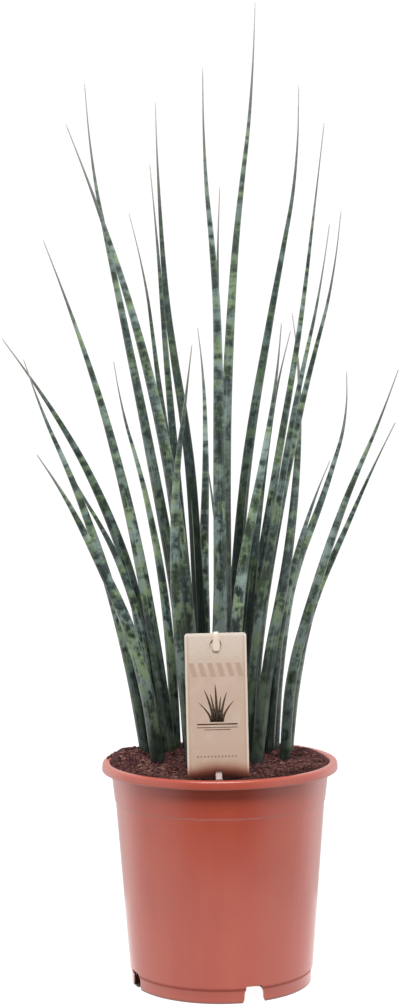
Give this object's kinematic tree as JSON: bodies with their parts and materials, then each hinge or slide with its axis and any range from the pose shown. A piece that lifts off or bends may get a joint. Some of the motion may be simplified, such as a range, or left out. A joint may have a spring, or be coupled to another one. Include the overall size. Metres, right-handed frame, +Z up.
{
  "type": "potted cylindrical snake plant",
  "caption": "Slim, pointed succulent leaves with cross bands fan upright from soil in a round plastic nursery pot, with a plain card label hooked on a stake.",
  "frame": {"origin": "on the pot's axis, at the flat disc in the middle of its underside, level with the surface the pot stands on", "axes": "+Z up along the pot's axis, -Y towards the front where the label stands, +X to the right seen from the front"},
  "size_m": [0.2837, 0.2054, 0.707],
  "materials": {
    "pot": "satin terracotta-coloured polypropylene",
    "soil": "damp dark red-brown potting mix of peat and fine bark",
    "leaf": "dark green succulent leaf with paler cross bands and a waxy bloom",
    "card": "uncoated kraft card with pale margins",
    "stake": "cream moulded plastic"
  },
  "bodies": {
    "root": {"pot": "pot", "soil": "soil", "leaf_01": "leaf", "leaf_02": "leaf", "leaf_03": "leaf", "leaf_04": "leaf", "leaf_05": "leaf", "leaf_06": "leaf", "leaf_07": "leaf", "leaf_08": "leaf", "leaf_09": "leaf", "leaf_10": "leaf", "leaf_11": "leaf", "leaf_12": "leaf", "leaf_13": "leaf", "leaf_14": "leaf", "leaf_15": "leaf", "leaf_16": "leaf", "leaf_17": "leaf", "leaf_18": "leaf", "leaf_19": "leaf", "leaf_20": "leaf", "leaf_21": "leaf", "leaf_22": "leaf", "leaf_23": "leaf", "leaf_24": "leaf", "leaf_25": "leaf", "leaf_26": "leaf", "leaf_27": "leaf", "leaf_28": "leaf", "label_card": "card", "label_stake": "stake"}
  },
  "joints": []
}
